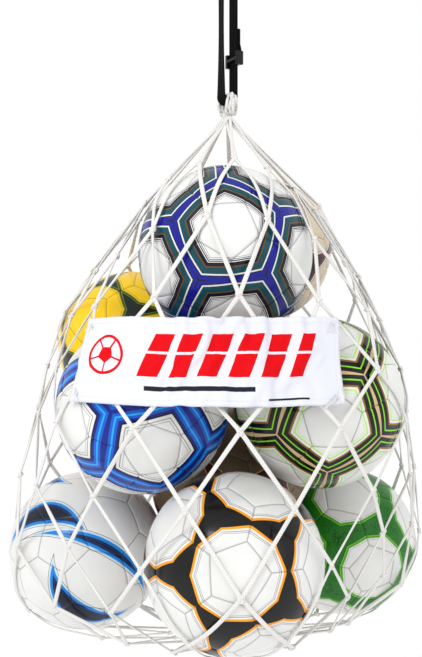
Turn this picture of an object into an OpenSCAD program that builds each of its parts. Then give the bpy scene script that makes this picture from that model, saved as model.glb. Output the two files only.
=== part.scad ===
// Mesh ball bag: a knotted net of flat braided cord that hangs on an adjustable webbing strap
// and holds ten size 5 footballs, with a cloth banner tied to the front of the net.
// Millimetres. The origin is the inside of the strap's top bend, where the bag hangs on a hook.
// +Z is up, the banner faces -Y, and +X is to the right of someone who looks at the banner.

/* [Balls] */
// Radius of a size 5 ball
ball_r = 110; // [108:0.5:110.5]
// Thickness of the ball's foam-backed casing
casing_t = 3; // [2:0.5:5]
// Thickness of the rubber bladder that lines the casing
bladder_t = 0.8; // [0.6:0.2:2]
// Radius of the valve's rubber stem
valve_r = 3.5; // [3:0.5:5]

/* [Net] */
// Number of meshes around the bag
meshes = 14; // [12:1:15]
// Width of the flat braided cord
cord_w = 4.6; // [3.6:0.2:5]
// Thickness of the flat braided cord
cord_t = 2.6; // [2:0.2:3]
// Radius of a knot
knot_r = 4.6; // [4:0.2:5]

/* [Banner] */
// Thickness of the banner's cloth
banner_t = 1; // [0.8:0.1:1.2]
// Lowest edge of the banner
banner_low = -632; // [-640:1:-625]
// Height of the banner
banner_h = 100; // [90:1:105]

/* [Strap] */
// Width of the webbing
webbing_w = 22; // [20:1:25]
// Thickness of the webbing
webbing_t = 1.6; // [1.2:0.1:1.6]
// Inside radius of the webbing's two bends
bend_r = 9.2; // [9:0.1:10]
// Depth of the hanging point of the net below the hook
gather_drop = 219; // [215:1:225]
// Depth of the slider's centre below the hook
slider_drop = 166; // [150:1:170]

/* [Hidden] */
// Ball centres, from the lowest ball in front to the highest one behind
BALLS = [
    [5, -180, -830],
    [-200, 20, -860],
    [180, 125, -870],
    [-110, -125, -645],
    [115, -110, -640],
    [-140, 85, -570],
    [0, 40, -765],
    [140, 165, -640],
    [-5, -135, -450],
    [50, 120, -425]
];
BALL_COLORS = [
    "white", "aliceblue", "honeydew", "lightskyblue", "palegreen",
    "gold", "tan", "lightblue", "teal", "burlywood"
];
// Heading of each valve from its ball's centre, as degrees about Z and degrees up
VALVES = [
    [60, -20], [120, 10], [40, 0], [100, -30], [70, 20],
    [80, 40], [30, 60], [90, 0], [110, 30], [60, 50]
];

// The net is measured from a point inside the bag, as headings about Z and up
MIDDLE = [0, 0, -650];
// Rows of knots, in degrees above the middle, from the mouth down
ROWS = [62, 44, 29, 12, -2, -19, -33, -46, -61, -76];
// How much closer together than even each row's knots stand in front
PULL = [0.4, 0.28, 0.1, 0, 0, 0, 0, 0, 0, 0];
// Heading of the first knot of the first row
FRONT = 272;
// Points on which the net closes, above and below the balls
BULB = [0, 0, -(gather_drop + 27)];
TIE = [0, 0, -970];
bulb_r = 12;
tie_r = 11;

// Distances from a ball's surface: cords, then knots, then the cloth outside them
cord_lift = 6.2;
knot_lift = 8.8;
cloth_lift = 14;
gap = 0.8;
bar_steps = 4;

valve_len = 14;
// Radius of the bunched mouth loops beside the webbing
loops_r = 5;
// Turn of the strap, the slider and the gather about the vertical, in degrees
strap_turn = 30;

// ---- The surface on which the net lies: the hull of the balls and the two closing points ----

function unit(v) = v / norm(v);
function heading(about, up) = [cos(up) * cos(about), cos(up) * sin(about), sin(up)];

FACINGS = [for (up = [-85 : 10 : 85]) for (about = [0 : 10 : 350]) heading(about, up)];
// How far the hull of bare balls reaches from the middle, in each facing
REACH = [for (u = FACINGS) max([for (c = BALLS) (c - MIDDLE) * u]) + ball_r];
// The same for the two closing points
CLOSE = [for (u = FACINGS) max((BULB - MIDDLE) * u, (TIE - MIDDLE) * u)];

function hull_distance(e, lift) = min([
    for (i = [0 : len(FACINGS) - 1])
    let (along = FACINGS[i] * e)
    if (along > 0.1) max(REACH[i] + lift, CLOSE[i]) / along
]);

function hull_point(about, up) =
    let (e = heading(about, up))
    MIDDLE + e * hull_distance(e, knot_lift);

// The hull's front surface at x, z, as a point
function front_point(x, z, lift) =
    let (p = [x, 0, z] - MIDDLE)
    [x, max([
        for (i = [0 : len(FACINGS) - 1])
        let (u = FACINGS[i])
        if (u[1] < -0.3) (REACH[i] + lift - p[0] * u[0] - p[2] * u[2]) / u[1]
    ]), z];

// ---- Knots: even steps along each row but for the pull, every other row half a step on ----

function running_length(path) = [
    for (i = 0, s = 0; i < len(path); s = s + norm(path[min(i + 1, len(path) - 1)] - path[i]), i = i + 1) s
];

function row_knots(k) =
    let (
        headings = [for (i = [0 : 36]) FRONT + 10 * i],
        lengths = running_length([for (a = headings) hull_point(a, ROWS[k])]),
        table = [for (i = [0 : 36]) [lengths[i], headings[i]]],
        shift = k % 2 == 0 ? 0 : 0.5
    )
    [
        for (j = [0 : meshes - 1])
        let (turn = (j + shift) / meshes, share = turn - PULL[k] * sin(360 * turn) / (2 * PI))
        hull_point(lookup(lengths[36] * share, table), ROWS[k])
    ];

// Number of the knot in the next row that knot j of row k is tied to, on side 0 or 1
function below(k, j, side) = (j + side - (k % 2 == 0 ? 1 : 0) + meshes) % meshes;
// Number of the knot beside knot j in its own row, on side 0 or 1
function beside(j, side) = (j + 2 * side - 1 + meshes) % meshes;

// ---- Cords ----

function ball_weights(p) = [for (c = BALLS) pow(norm(p - c) - ball_r + 6, -2) / norm(p - c)];
// Direction away from the balls, in which a flat cord's broad side faces
function outward(p) = unit(ball_weights(p) * [for (c = BALLS) p - c]);

function pushed_out(p) =
    let (
        distances = [for (c = BALLS) norm(p - c)],
        near = min(distances),
        c = [for (i = [0 : len(BALLS) - 1]) if (distances[i] == near) BALLS[i]][0]
    )
    near < ball_r + cord_lift ? c + (p - c) * (ball_r + cord_lift) / near : p;

// Distance from p at which cords to q and to r stand clear of each other and of the knot
function trim(p, q, r, clear) =
    max(knot_r + gap, clear / norm(unit(q - p) - unit(r - p)));

// Points of a cord from p to q that starts and ends short of both, and goes round the balls
function route(p, q, short_p, short_q) =
    let (length = norm(q - p))
    [for (i = [0 : bar_steps])
        pushed_out(p + (q - p) * (short_p + (length - short_p - short_q) * i / bar_steps) / length)];

function section(p, along, width) =
    let (
        t = unit(along),
        o = outward(p),
        n = unit(o - t * (o * t)) * cord_t / 2,
        w = cross(t, unit(n)) * width / 2
    )
    [p + w + n, p - w + n, p - w - n, p + w - n];

// A flat cord through points, whose width goes evenly from width_a to width_b
module cord(points, width_a = cord_w, width_b = cord_w) {
    last = len(points) - 1;
    corners = [
        for (i = [0 : last])
        each section(
            points[i],
            points[min(i + 1, last)] - points[max(i - 1, 0)],
            width_a + (width_b - width_a) * i / last
        )
    ];
    sides = [
        for (i = [0 : last - 1]) for (k = [0 : 3])
        let (a = 4 * i + k, b = 4 * i + (k + 1) % 4)
        each [[a, b, b + 4], [a, b + 4, a + 4]]
    ];
    start = [[3, 2, 1], [3, 1, 0]];
    end = [for (f = [[0, 1, 2], [0, 2, 3]]) f + [4, 4, 4] * last];
    polyhedron(points = corners, faces = concat(start, sides, end), convexity = 4);
}

// ---- Net ----

// The knots of row k and the cords from them down to the next row
module net_row(k) {
    knots = row_knots(k);
    color("whitesmoke") {
        for (p = knots) translate(p) sphere(knot_r, $fn = 24);
        if (k < len(ROWS) - 1) bars(k, knots, row_knots(k + 1));
        if (k == len(ROWS) - 1) bottom_strands(knots);
    }
}

module bars(k, knots, lower) {
    for (j = [0 : meshes - 1]) for (side = [0, 1]) {
        p = knots[j];
        q = lower[below(k, j, side)];
        clear_p = trim(p, q, lower[below(k, j, 1 - side)], cord_w + gap);
        clear_q = trim(q, p, knots[beside(j, side)], cord_w + gap);
        cord(route(p, q, clear_p, clear_q));
    }
}

// Each pair of cords to the bottom tie lies side by side, so it is one strand
module bottom_strands(knots) {
    for (p = knots) {
        q = TIE + unit([p[0], p[1], 0]) * (tie_r + 5);
        cord(route(p, q, knot_r + gap, 0), 2 * cord_w - 1.2, cord_w);
    }
}

// The two strands of neighbouring mouth loops lie side by side, and narrow towards the gather
module mouth_strands() {
    knots = row_knots(0);
    color("whitesmoke")
    for (j = [0 : meshes - 1]) {
        p = BULB + heading(FRONT + 360 * j / meshes, -30) * (bulb_r + 5);
        cord(route(p, knots[j], 0, knot_r + gap), 3.4, 2 * cord_w - 1.2);
    }
}

// Tops of the mouth loops, bunched through the strap's lower bend, down both its edges and below it
module mouth_gather() {
    leg_y = webbing_w / 2 + loops_r + 1;
    leg_h = 14;
    color("white") rotate([0, 0, strap_turn]) {
        translate([0, 0, -gather_drop]) rotate([90, 0, 0])
            cylinder(r = bend_r - 0.7, h = 2 * leg_y, center = true, $fn = 48);
        for (side = [-1, 1]) {
            translate([0, side * leg_y, -gather_drop]) sphere(loops_r + 0.5, $fn = 32);
            translate([0, side * leg_y, -gather_drop - leg_h]) cylinder(r = loops_r, h = leg_h, $fn = 32);
            hull() {
                translate([0, side * leg_y, -gather_drop - leg_h]) sphere(loops_r + 0.2, $fn = 32);
                translate(BULB) sphere(loops_r, $fn = 32);
            }
        }
        translate(BULB) sphere(bulb_r, $fn = 48);
    }
}

// Draw cord that closes the bottom, with its knot and two short ends
module bottom_tie() {
    drawn_r = cord_w / 2;
    tie_knot_r = 5;
    end_len = 18;
    color("whitesmoke") translate(TIE) {
        rotate_extrude($fn = 64) translate([tie_r, 0]) circle(drawn_r, $fn = 24);
        translate([0, -tie_r, -3]) {
            sphere(tie_knot_r, $fn = 32);
            for (lean = [-14, 16])
                rotate([0, 180 + lean, 0]) cylinder(r = drawn_r - 0.5, h = end_len, $fn = 24);
        }
    }
}

// ---- Banner ----

banner_left_top = -172;
banner_left_low = -192;
banner_right_top = 124;
banner_right_low = 130;
banner_columns = 16;
banner_rows = 4;

function banner_point(i, j, lift) =
    let (
        v = j / banner_rows,
        left = banner_left_low + (banner_left_top - banner_left_low) * v,
        right = banner_right_low + (banner_right_top - banner_right_low) * v
    )
    front_point(left + (right - left) * i / banner_columns, banner_low + banner_h * v, lift);

module banner_cloth() {
    across = banner_columns + 1;
    count = across * (banner_rows + 1);
    inside = [for (j = [0 : banner_rows]) for (i = [0 : banner_columns]) banner_point(i, j, cloth_lift)];
    outside = [for (p = inside) p - [0, banner_t, 0]];
    cells = [
        for (j = [0 : banner_rows - 1]) for (i = [0 : banner_columns - 1])
        let (a = j * across + i)
        each [[a, a + 1, a + across + 1], [a, a + across + 1, a + across]]
    ];
    rim = concat(
        [for (i = [0 : banner_columns]) i],
        [for (j = [1 : banner_rows]) j * across + banner_columns],
        [for (i = [banner_columns - 1 : -1 : 0]) banner_rows * across + i],
        [for (j = [banner_rows - 1 : -1 : 1]) j * across]
    );
    edges = [
        for (i = [0 : len(rim) - 1])
        let (a = rim[i], b = rim[(i + 1) % len(rim)])
        each [[a, a + count, b + count], [a, b + count, b]]
    ];
    color("ghostwhite")
        polyhedron(
            points = concat(inside, outside),
            faces = concat(cells, [for (f = cells) [f[2], f[1], f[0]] + [count, count, count]], edges),
            convexity = 4
        );
}

// Thread loops through the banner's corners, which tie it to the net
module banner_ties() {
    inset = 5;
    loop_r = 4;
    thread_r = 0.7;
    color("white")
    for (i = [0, banner_columns]) for (j = [0, banner_rows]) {
        corner = banner_point(i, j, cloth_lift);
        x = corner[0] + (i == 0 ? inset : -inset);
        z = corner[2] + (j == 0 ? inset : -inset);
        translate(front_point(x, z, cloth_lift)) rotate([0, 90, 0])
            rotate_extrude($fn = 32) translate([loop_r, 0]) circle(thread_r, $fn = 16);
    }
}

// ---- Strap ----

// A length of webbing: a flat outline in the X-Z plane, given the webbing's width along Y
module webbed(width) {
    translate([0, width / 2, 0]) rotate([90, 0, 0]) linear_extrude(width) children();
}

module strap_outline(r) {
    translate([0, -bend_r]) circle(r, $fn = 64);
    translate([0, -gather_drop]) circle(r, $fn = 64);
    translate([-r, -gather_drop]) square([2 * r, gather_drop - bend_r]);
}

module strap_webbing() {
    color("#181818") rotate([0, 0, strap_turn]) webbed(webbing_w) difference() {
        strap_outline(bend_r + webbing_t);
        strap_outline(bend_r);
    }
}

// Slider: two posts with a flat bar outside the webbing, one inside it, and a round one above
slider_h = 19;
slider_w = webbing_w + 11;
post_w = 5.1;
bar_t = 2.6;
bar_h = 3.6;
round_r = 1.5;
slack = 0.3;
outer_x = bend_r + webbing_t + slack;
inner_x = bend_r - slack - bar_t;
round_x = outer_x + webbing_t + 2 * slack + round_r;
round_z = slider_h / 2 - round_r;

module slider() {
    post_depth = round_x + round_r - inner_x;
    color("#202020") rotate([0, 0, strap_turn]) translate([0, 0, -slider_drop]) {
        for (side = [-1, 1])
            translate([inner_x, side * (slider_w - post_w) / 2 - post_w / 2, -slider_h / 2])
                cube([post_depth, post_w, slider_h]);
        translate([outer_x, -slider_w / 2, -slider_h / 2]) cube([bar_t, slider_w, bar_h]);
        translate([inner_x, -slider_w / 2, -bar_h / 2]) cube([bar_t, slider_w, bar_h]);
        translate([round_x, 0, round_z]) rotate([90, 0, 0])
            cylinder(r = round_r, h = slider_w, center = true, $fn = 32);
    }
}

// Spare end of the webbing: folded round the slider's round bar and sewn to itself above it
fold_r = round_r + 0.1;
tail_x = round_x - fold_r - webbing_t + slack;
tail_len = 34;
seam_from = 12;

module strap_tail() {
    outer_r = fold_r + webbing_t;
    color("#1c1c1c") rotate([0, 0, strap_turn]) translate([0, 0, round_z - slider_drop])
    webbed(webbing_w) difference() {
        union() {
            translate([round_x, 0]) circle(outer_r, $fn = 48);
            translate([tail_x, -1]) square([webbing_t, tail_len + 1]);
            polygon([
                [round_x + fold_r, -1], [round_x + outer_r - 0.4, -1], [tail_x + 2 * webbing_t, seam_from],
                [tail_x + 2 * webbing_t, tail_len], [tail_x + webbing_t / 2, tail_len],
                [tail_x + webbing_t / 2, seam_from]
            ]);
        }
        translate([round_x, 0]) circle(fold_r, $fn = 48);
    }
}

// Rows of stitches that hold the fold
module strap_stitches() {
    stitch_l = 2.2;
    stitch_h = 0.7;
    row_step = 4.4;
    color("#3a3a3a") rotate([0, 0, strap_turn])
    for (y = [-8 : 4 : 8]) for (row = [0 : 4])
        translate([
            tail_x + 2 * webbing_t,
            y - stitch_l / 2,
            round_z - slider_drop + seam_from + 2 + row_step * row
        ])
        cube([0.4, stitch_l, stitch_h]);
}

// ---- Balls: a casing, the bladder inside it and the valve through both ----

module at_valve(i) {
    translate(BALLS[i]) rotate([0, 90 - VALVES[i][1], VALVES[i][0]]) children();
}

module ball_shell(i, outer, thickness) {
    difference() {
        translate(BALLS[i]) sphere(outer, $fn = 96);
        translate(BALLS[i]) sphere(outer - thickness, $fn = 96);
        at_valve(i) translate([0, 0, outer - valve_len]) cylinder(r = valve_r, h = 2 * valve_len, $fn = 32);
    }
}

module ball_casing(i) {
    color(BALL_COLORS[i]) ball_shell(i, ball_r, casing_t);
}

module ball_bladder(i) {
    color("dimgray") ball_shell(i, ball_r - casing_t, bladder_t);
}

module ball_valve(i) {
    stem_foot = ball_r - 0.6 - valve_len;
    needle_r = 0.9;
    color("#303030") at_valve(i) difference() {
        translate([0, 0, stem_foot]) cylinder(r = valve_r, h = valve_len, $fn = 32);
        translate([0, 0, stem_foot + 4]) cylinder(r = needle_r, h = valve_len, $fn = 24);
    }
}

strap_webbing();
strap_tail();
strap_stitches();
slider();
mouth_gather();
mouth_strands();
for (k = [1 : len(ROWS)])
    net_row(k - 1);
bottom_tie();
banner_cloth();
banner_ties();
for (i = [1 : len(BALLS)]) {
    ball_casing(i - 1);
    ball_bladder(i - 1);
    ball_valve(i - 1);
}
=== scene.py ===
"""Mesh ball bag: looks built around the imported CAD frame. Metres, the CAD's own axes."""

import math

import bmesh
import bpy
import numpy as np
from mathutils import Matrix, Vector


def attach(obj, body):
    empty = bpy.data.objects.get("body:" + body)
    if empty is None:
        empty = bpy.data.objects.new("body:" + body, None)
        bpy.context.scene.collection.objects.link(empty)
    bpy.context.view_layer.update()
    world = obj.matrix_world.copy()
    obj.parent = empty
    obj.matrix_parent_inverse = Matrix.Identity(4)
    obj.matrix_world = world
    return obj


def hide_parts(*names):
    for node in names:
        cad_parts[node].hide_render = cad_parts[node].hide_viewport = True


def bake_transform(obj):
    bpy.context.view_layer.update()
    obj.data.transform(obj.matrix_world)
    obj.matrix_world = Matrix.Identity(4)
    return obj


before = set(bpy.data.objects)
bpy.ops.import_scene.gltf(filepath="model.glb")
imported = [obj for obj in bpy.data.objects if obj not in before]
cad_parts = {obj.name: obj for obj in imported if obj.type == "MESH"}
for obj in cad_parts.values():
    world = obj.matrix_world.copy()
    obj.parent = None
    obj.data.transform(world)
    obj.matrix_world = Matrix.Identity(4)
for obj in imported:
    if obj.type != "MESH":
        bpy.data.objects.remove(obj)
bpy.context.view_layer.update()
rng = np.random.default_rng(7)

# ---- Sizes and places of the CAD part, in metres ----

BALL_R = 0.110
BALLS = np.array([
    (0.005, -0.180, -0.830), (-0.200, 0.020, -0.860), (0.180, 0.125, -0.870), (-0.110, -0.125, -0.645),
    (0.115, -0.110, -0.640), (-0.140, 0.085, -0.570), (0.000, 0.040, -0.765), (0.140, 0.165, -0.640),
    (-0.005, -0.135, -0.450), (0.050, 0.120, -0.425),
])
# Where each ball's valve looks, in degrees about Z from X, and up
VALVES = (
    (60, -20), (120, 10), (40, 0), (100, -30), (70, 20),
    (80, 40), (30, 60), (90, 0), (110, 30), (60, 50),
)
# The net's rows, as degrees up from its middle, and how far each row's knots crowd to the front
MIDDLE = np.array((0, 0, -0.650))
ROWS = (62, 44, 29, 12, -2, -19, -33, -46, -61, -76)
CROWD = (0.4, 0.28, 0.1, 0, 0, 0, 0, 0, 0, 0)
# Where each row's count of knots starts, in degrees about Z, and its number of knots
FRONT = 272
MESHES = 14
# The gather on the strap's lower bend, where its cords part, and the tie at the bottom
GATHER_Z = -0.219
BULB = np.array((0, 0, -0.246))
TIE = np.array((0, 0, -0.970))
TIE_R = 0.011
# The strap's turn about Z in degrees, the inside of its bends, its webbing and the slider's place
STRAP_TURN = 30
BEND_R = 0.0092
WEB_W = 0.022
WEB_T = 0.0016
SLIDER_Z = -0.166

# The drawn cord, and how far cords and knots lie off a ball
CORD_W = 0.0054
CORD_T = 0.0024
CORD_LIFT = 0.0030
KNOT_LIFT = 0.0052
# Points of a cord from knot to knot, and the rounds in which it is drawn taut
CORD_POINTS = 21
PULLS = 90
# Width, thickness and sides of the other sections
KNOT_SECTION = (0.0042, 0.0028, 8)
PAIR_SECTION = (0.0042, 0.0022, 8)
LOOP_SECTION = (0.0043, 0.0022, 8)
RING_SECTION = (0.0040, 0.0036, 10)
END_SECTION = (0.0036, 0.0026, 8)


# ---- Camera, light and floor ----


def make_stage():
    scene = bpy.context.scene
    camera = bpy.data.objects.new("camera", bpy.data.cameras.new("camera"))
    scene.collection.objects.link(camera)
    camera.location = (-0.023, -1.332, -0.545)
    camera.rotation_euler = (math.radians(90), 0, 0)
    camera.data.sensor_width = 36
    camera.data.lens = 51.9
    scene.camera = camera
    scene.view_settings.view_transform = "Standard"

    world = bpy.data.worlds.new("world")
    world.use_nodes = True
    sky = world.node_tree.nodes["Background"].inputs
    sky["Color"].default_value = (1, 1, 1, 1)
    sky["Strength"].default_value = 1.0
    scene.world = world

    def area(name, place, size, power):
        lamp = bpy.data.objects.new(name, bpy.data.lights.new(name, "AREA"))
        scene.collection.objects.link(lamp)
        lamp.data.size = size
        lamp.data.energy = power
        lamp.location = place
        lamp.rotation_euler = (Vector((0, 0, -0.6)) - Vector(place)).to_track_quat("-Z", "Y").to_euler()

    area("key", (-1.2, -2.0, 1.0), 0.8, 26)
    area("fill", (1.9, -1.6, 0.2), 1.2, 4)

    g = Paint("floor", roughness=0.9, emission_strength=0.05)
    g.mottle(3, 3, (0.975, 0.975, 0.975), (0.985, 0.985, 0.985))
    side, low = 14, -1.32
    corners = [(-side, -side, low), (side, -side, low), (side, side, low), (-side, side, low)]
    floor = mesh_object("floor", corners, [(0, 1, 2, 3)], material=g.material)


# ---- Materials: a small builder of node graphs ----


def linear(c):
    return tuple(x / 12.92 if x <= 0.04045 else ((x + 0.055) / 1.055) ** 2.4 for x in c) + (1.0,)


class Graph:
    """A tree of shader nodes. Most methods give back the socket that holds their result."""

    def __init__(self, tree):
        self.nodes, self.links = tree.nodes, tree.links

    def put(self, socket, value):
        if isinstance(value, bpy.types.NodeSocket):
            self.links.new(value, socket)
        else:
            socket.default_value = value

    def node(self, kind, inputs=(), **settings):
        n = self.nodes.new(kind)
        for key, value in settings.items():
            setattr(n, key, value)
        for key, value in dict(inputs).items():
            self.put(n.inputs[key], value)
        return n

    def math(self, operation, *values, clamp=False):
        inputs = dict(enumerate(values))
        return self.node("ShaderNodeMath", inputs, operation=operation, use_clamp=clamp).outputs[0]

    def product(self, a, b):
        return self.math("MULTIPLY", a, b)

    def dot(self, a, b):
        return self.node("ShaderNodeVectorMath", {0: a, 1: b}, operation="DOT_PRODUCT").outputs["Value"]

    def position(self):
        return self.node("ShaderNodeTexCoord").outputs["Object"]

    def uv(self):
        return self.node("ShaderNodeSeparateXYZ", {0: self.node("ShaderNodeTexCoord").outputs["UV"]}).outputs

    def noise(self, scale, detail):
        inputs = {"Scale": scale, "Detail": detail, "Vector": self.position()}
        return self.node("ShaderNodeTexNoise", inputs).outputs[0]

    def ramp(self, value, stops, steps=False, top=1.0):
        n = self.node("ShaderNodeValToRGB")
        n.color_ramp.interpolation = "CONSTANT" if steps else "LINEAR"
        marks = n.color_ramp.elements
        while len(marks) < len(stops):
            marks.new(0.5)
        for mark, (place, color) in zip(marks, stops):
            mark.position = place / top
        for mark, (place, color) in zip(marks, stops):
            mark.color = linear(color) if len(color) == 3 else color
        self.put(n.inputs[0], self.math("DIVIDE", value, top) if top != 1.0 else value)
        return n.outputs[0]

    def mix(self, share, a, b):
        n = self.node("ShaderNodeMix", data_type="RGBA")
        for i, value in ((0, share), (6, a), (7, b)):
            self.put(n.inputs[i], linear(value) if isinstance(value, tuple) and len(value) == 3 else value)
        return n.outputs[2]

    def times(self, a, b):
        inputs = {0: 1.0, 6: a, 7: b}
        return self.node("ShaderNodeMix", inputs, data_type="RGBA", blend_type="MULTIPLY").outputs[2]


class Paint(Graph):
    """A material, made on its one shader."""

    def __init__(self, name, **shader):
        self.material = bpy.data.materials.new(name)
        self.material.use_nodes = True
        super().__init__(self.material.node_tree)
        self.shader = self.nodes["Principled BSDF"]
        for key, value in shader.items():
            socket = "IOR" if key == "ior" else key.replace("_", " ").title()
            self.shader.inputs[socket].default_value = value

    def color(self, value):
        self.put(self.shader.inputs["Base Color"], value)

    def mottle(self, scale, detail, dark, light):
        """Colour that drifts between two shades."""
        self.color(self.ramp(self.noise(scale, detail), [(0.3, dark), (0.7, light)]))

    def bump(self, height, strength, distance):
        inputs = {"Strength": strength, "Distance": distance, "Height": height}
        self.put(self.shader.inputs["Normal"], self.node("ShaderNodeBump", inputs).outputs[0])


# ---- Meshes ----


def mesh_object(name, points, faces, uvs=None, material=None):
    mesh = bpy.data.meshes.new(name)
    mesh.from_pydata([tuple(p) for p in points], [], [tuple(f) for f in faces])
    if uvs is not None:
        layer = mesh.uv_layers.new(name="UVMap")
        loops = np.zeros(len(mesh.loops), np.int32)
        mesh.loops.foreach_get("vertex_index", loops)
        layer.data.foreach_set("uv", np.asarray(uvs, np.float32)[loops].ravel())
    mesh.polygons.foreach_set("use_smooth", np.ones(len(mesh.polygons), bool))
    mesh.validate()
    if material:
        mesh.materials.append(material)
    made = bpy.data.objects.new(name, mesh)
    bpy.context.scene.collection.objects.link(made)
    return made


class Sweeps:
    """Gathers tubes of any section into one mesh, with U across the tube and V along it in metres."""

    def __init__(self):
        self.points, self.faces, self.caps, self.uvs, self.count = [], [], [], [], 0

    def add(self, path, normals, section, closed=False):
        path, normals = np.asarray(path, float), np.asarray(normals, float)
        n, m = len(path), len(section)
        along = np.roll(path, -1, 0) - np.roll(path, 1, 0)
        if not closed:
            along[0], along[-1] = path[1] - path[0], path[-1] - path[-2]
        along = unit(along)
        up = unit(normals - along * (normals * along).sum(1)[:, None])
        side = np.cross(along, up)
        ring = path[:, None] + section[None, :, :1] * side[:, None] + section[None, :, 1:] * up[:, None]
        steps = travelled(path)
        rows = np.arange(n if closed else n - 1)[:, None] * m
        a = rows + np.arange(m)[None]
        b = rows + (np.arange(m)[None] + 1) % m
        quads = np.stack([a, (a + m) % (n * m), (b + m) % (n * m), b], -1)
        self.faces.append(self.count + quads.reshape(-1, 4))
        self.points.append(ring.reshape(-1, 3))
        u = np.repeat(np.minimum(np.arange(m), m - np.arange(m))[None] / (m / 2), n, 0)
        self.uvs.append(np.stack([u, np.repeat(steps[:, None], m, 1)], -1).reshape(-1, 2))
        self.count += n * m
        if not closed:
            first = self.count - n * m
            for row, turn in ((0, 1), (n - 1, -1)):
                base = first + row * m
                self.points.append(ring[row].mean(0)[None])
                self.uvs.append(np.array([[0.5, steps[row]]]))
                self.caps += [(base + k, base + (k + 1) % m, self.count)[::turn] for k in range(m)]
                self.count += 1

    def object(self, name, material):
        faces = np.concatenate(self.faces).tolist() + self.caps
        return mesh_object(name, np.concatenate(self.points), faces, np.concatenate(self.uvs), material)


def oval(width, thick, count, power=0.75):
    """A cord's section: an ellipse, or with power below 1 a fuller one."""
    a = np.arange(count) * 2 * math.pi / count
    shape = lambda v: np.sign(v) * np.abs(v) ** power
    return np.stack([shape(np.cos(a)) * width / 2, shape(np.sin(a)) * thick / 2], -1)


def unit(v):
    v = np.asarray(v, float)
    return v / np.linalg.norm(v, axis=-1, keepdims=True)


def travelled(path):
    """The distance along a path at each of its points."""
    return np.r_[0, np.cumsum(np.linalg.norm(np.diff(path, axis=0), axis=1))]


def smooth_path(points, count):
    """A Catmull-Rom curve through the points, with its steps of nearly equal length."""
    p = np.asarray(points, float)
    p = np.vstack([2 * p[0] - p[1], p, 2 * p[-1] - p[-2]])
    fine = []
    for i in range(1, len(p) - 2):
        t = np.linspace(0, 1, 24, endpoint=False)[:, None]
        a, b, c, d = p[i - 1], p[i], p[i + 1], p[i + 2]
        square, cube = 2 * a - 5 * b + 4 * c - d, 3 * b - a - 3 * c + d
        fine.append(0.5 * (2 * b + (c - a) * t + square * t**2 + cube * t**3))
    fine = np.vstack(fine + [p[-2][None]])
    s = travelled(fine)
    at = np.linspace(0, s[-1], count)
    return np.stack([np.interp(at, s, fine[:, k]) for k in range(3)], -1)


# ---- Balls: 32 panels with seams sunk between them ----


def icosahedron():
    """Its twelve corners as directions, which of them are neighbours, and the threes round each face."""
    g = (1 + math.sqrt(5)) / 2
    v = unit([p for s in (-1, 1) for t in (-1, 1) for p in ((0, s, t * g), (s, t * g, 0), (t * g, 0, s))])
    far = np.linalg.norm(v[:, None] - v[None], axis=2)
    near = (far > 0.1) & (far < 1.2)
    threes = [(i, j, k) for i in range(12) for j in range(i) for k in range(j)]
    return v, near, [(i, j, k) for i, j, k in threes if near[i, j] and near[j, k] and near[i, k]]


AXES, NEAR, TRIOS = icosahedron()
CORNERS = unit([AXES[list(t)].sum(0) for t in TRIOS])


def panels():
    """Each panel's middle and corners, as directions: twelve with five sides, then twenty with six."""
    third = lambda i, j: unit(AXES[i] * 2 + AXES[j])
    for i in range(12):
        x = unit(np.cross(AXES[i], (0.3, 0.5, 0.8)))
        y = np.cross(AXES[i], x)
        ring = sorted(np.flatnonzero(NEAR[i]), key=lambda j: math.atan2(AXES[j] @ y, AXES[j] @ x))
        yield AXES[i], [third(i, j) for j in ring]
    for i, j, k in TRIOS:
        if np.cross(AXES[j] - AXES[i], AXES[k] - AXES[i]) @ AXES[i] < 0:
            j, k = k, j
        edges = ((i, j), (j, i), (j, k), (k, j), (k, i), (i, k))
        yield unit(AXES[i] + AXES[j] + AXES[k]), [third(*e) for e in edges]


# Rings of points on a panel, by their distance from its seams, and the points along each side
SEAM_STEPS = (0, 0.0006, 0.0012, 0.0020, 0.0034, 0.0060, 0.0100, 0.0150, 0.0205, 0.0260)
EDGE_STEPS = 10
# Depth and half width of a seam's groove, and of the gentle dip of the panels towards it
GROOVE = (0.0010, 0.0014)
DIP = (0.00035, 0.006)


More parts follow.
